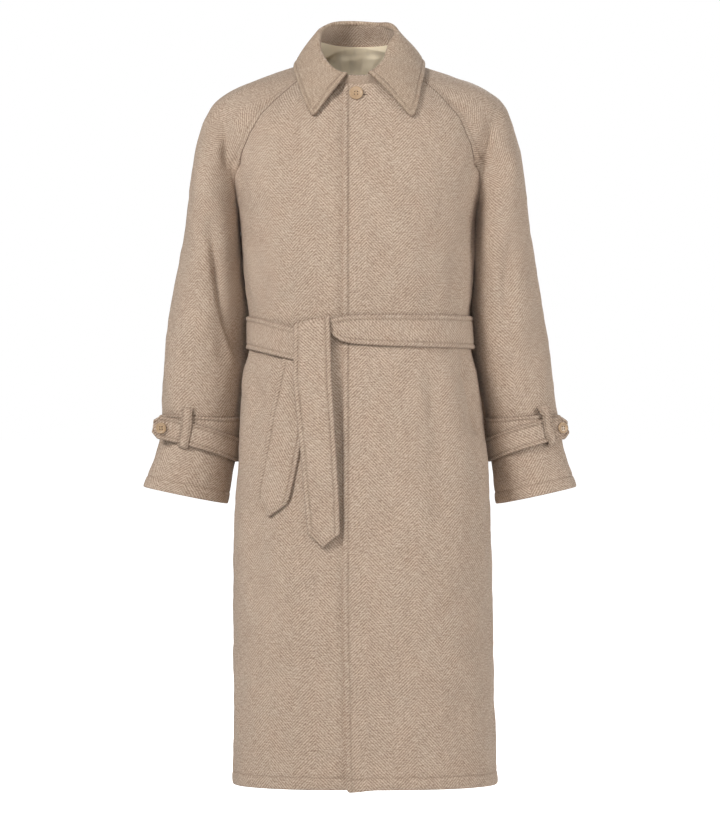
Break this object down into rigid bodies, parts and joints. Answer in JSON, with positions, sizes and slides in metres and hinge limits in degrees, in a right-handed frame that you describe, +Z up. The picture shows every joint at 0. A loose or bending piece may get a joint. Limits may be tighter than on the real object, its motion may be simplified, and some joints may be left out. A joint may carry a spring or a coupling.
{
  "type": "belted coat",
  "caption": "Long raglan-sleeve coat in herringbone wool, closed fly front, turned-down collar, tied cloth belt and strapped cuffs, in its worn shape and empty inside.",
  "frame": {"origin": "middle of the neck hole at the height of the shoulders' neck seam, where the wearer's shoulders hold the coat", "axes": "+Z up; -Y is the coat's front; +X is the wearer's left, the viewer's right"},
  "size_m": [0.698, 0.34, 1.2285],
  "materials": {
    "wool_herringbone": "napped wool in a wide herringbone of cream and tan yarns",
    "satin_lining": "olive-beige satin, slightly glossy",
    "button_horn": "polished pale horn-look resin with streaks"
  },
  "bodies": {
    "root": {"front_left": "wool_herringbone", "front_right": "wool_herringbone", "back": "wool_herringbone", "sleeve_left": "wool_herringbone", "sleeve_right": "wool_herringbone", "collar_stand": "wool_herringbone", "collar_leaf": "wool_herringbone", "belt_band": "wool_herringbone", "belt_end_front": "wool_herringbone", "belt_end_back": "wool_herringbone", "cuff_strap_left": "wool_herringbone", "cuff_strap_right": "wool_herringbone", "cuff_loop_left": "wool_herringbone", "cuff_loop_right": "wool_herringbone", "lining_back_neck": "satin_lining", "button_neck": "button_horn", "button_cuff_left": "button_horn", "button_cuff_right": "button_horn"}
  },
  "joints": []
}
